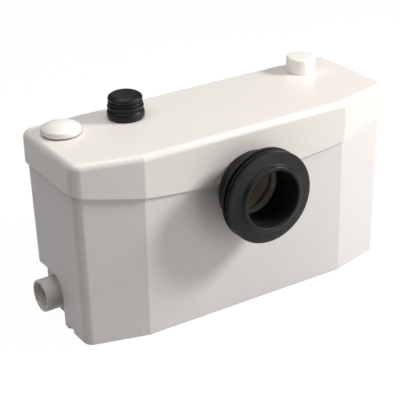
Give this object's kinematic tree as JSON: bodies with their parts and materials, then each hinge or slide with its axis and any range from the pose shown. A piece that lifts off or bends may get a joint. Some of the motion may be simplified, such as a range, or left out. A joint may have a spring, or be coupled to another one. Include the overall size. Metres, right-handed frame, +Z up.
{
  "type": "macerator toilet pump",
  "caption": "Moulded macerator pump tank with a curved-edge lift-off lid, ribbed rubber pan sleeve, side inlets, discharge boot, vent cap and an inner motor, pump and grinder.",
  "frame": {"origin": "on the floor under the middle of the tank's length and of the lid's depth", "axes": "+Z up, +X to the right along the housing's length, -Y out of the pan inlet, +Y towards the room wall"},
  "size_m": [0.524, 0.235, 0.3015],
  "materials": {
    "shell": "satin moulded white",
    "lid_shell": "satin moulded white, a little lighter and warmer than the tank",
    "cap": "glossy moulded white",
    "rubber": "matt black moulded rubber",
    "inner_plastic": "natural moulded polypropylene",
    "pump_plastic": "glass-filled moulded grey",
    "dark_plastic": "moulded dark grey",
    "red_plastic": "moulded red",
    "capacitor": "smooth off-white",
    "motor_case": "drawn and painted grey",
    "laminations": "stacked sheet edges",
    "copper": "varnished copper wire",
    "steel": "turned and ground",
    "charcoal": "pressed charcoal granules"
  },
  "bodies": {
    "tank": {"tank": "shell", "lid_gasket": "rubber", "inlet_sleeve": "rubber", "inlet_chute": "inner_plastic", "left_inlet": "shell", "right_inlet": "shell", "flap_pins": "steel", "basket": "inner_plastic", "pump_casing": "pump_plastic", "pump_cover": "pump_plastic", "motor_posts": "pump_plastic", "motor_plate": "pump_plastic", "motor_plate_screws": "steel", "motor_can": "motor_case", "motor_cap": "dark_plastic", "stator": "laminations", "windings": "copper", "lower_bearing": "steel", "upper_bearing": "steel", "shaft_seal": "rubber", "capacitor": "capacitor", "terminal_block": "dark_plastic", "pressure_tube": "inner_plastic", "diaphragm": "rubber", "diaphragm_cover": "pump_plastic", "microswitch": "dark_plastic", "valve_body": "inner_plastic", "valve_pin": "steel", "discharge_riser": "inner_plastic", "cable_gland": "dark_plastic", "gland_nut": "dark_plastic"},
    "lid": {"lid": "lid_shell", "discharge_spigot": "shell", "riser_seal": "rubber", "discharge_boot": "rubber", "upper_spigot": "shell", "filter_cup": "shell", "charcoal_filter": "charcoal"},
    "vent_cap": {"vent_cap": "cap"},
    "upper_cap": {"upper_inlet_cap": "cap"},
    "rotor": {"shaft": "steel", "rotor": "laminations", "impeller": "dark_plastic", "impeller_nut": "steel", "cutter": "steel"},
    "left_flap": {"left_flap": "rubber"},
    "right_flap": {"right_flap": "rubber"},
    "discharge_flap": {"discharge_flap": "rubber"},
    "plunger": {"switch_plunger": "red_plastic"}
  },
  "joints": [
    {"name": "lid_lift", "type": "slide", "parent": "tank", "child": "lid", "axis": [0, 0, 1], "range_m": [0, 0.15]},
    {"name": "vent_cap_lift", "type": "slide", "parent": "lid", "child": "vent_cap", "axis": [0, 0, 1], "range_m": [0, 0.03]},
    {"name": "upper_cap_pull", "type": "slide", "parent": "lid", "child": "upper_cap", "axis": [0, 0, 1], "range_m": [0, 0.03]},
    {"name": "shaft_spin", "type": "hinge", "parent": "tank", "child": "rotor", "pos_m": [-0.089, -0.02033, 0.1], "axis": [0, 0, 1], "continuous": true},
    {"name": "left_flap_swing", "type": "hinge", "parent": "tank", "child": "left_flap", "pos_m": [-0.2212, 0.045, 0.0605], "axis": [0, -1, 0], "range_deg": [0, 60]},
    {"name": "right_flap_swing", "type": "hinge", "parent": "tank", "child": "right_flap", "pos_m": [0.2212, 0.045, 0.0605], "axis": [0, 1, 0], "range_deg": [0, 60]},
    {"name": "discharge_flap_swing", "type": "hinge", "parent": "tank", "child": "discharge_flap", "pos_m": [-0.1275, 0.0405, 0.045], "axis": [0, -1, 0], "range_deg": [0, 60]},
    {"name": "plunger_travel", "type": "slide", "parent": "tank", "child": "plunger", "axis": [0, 0, 1], "range_m": [0, 0.003]}
  ]
}
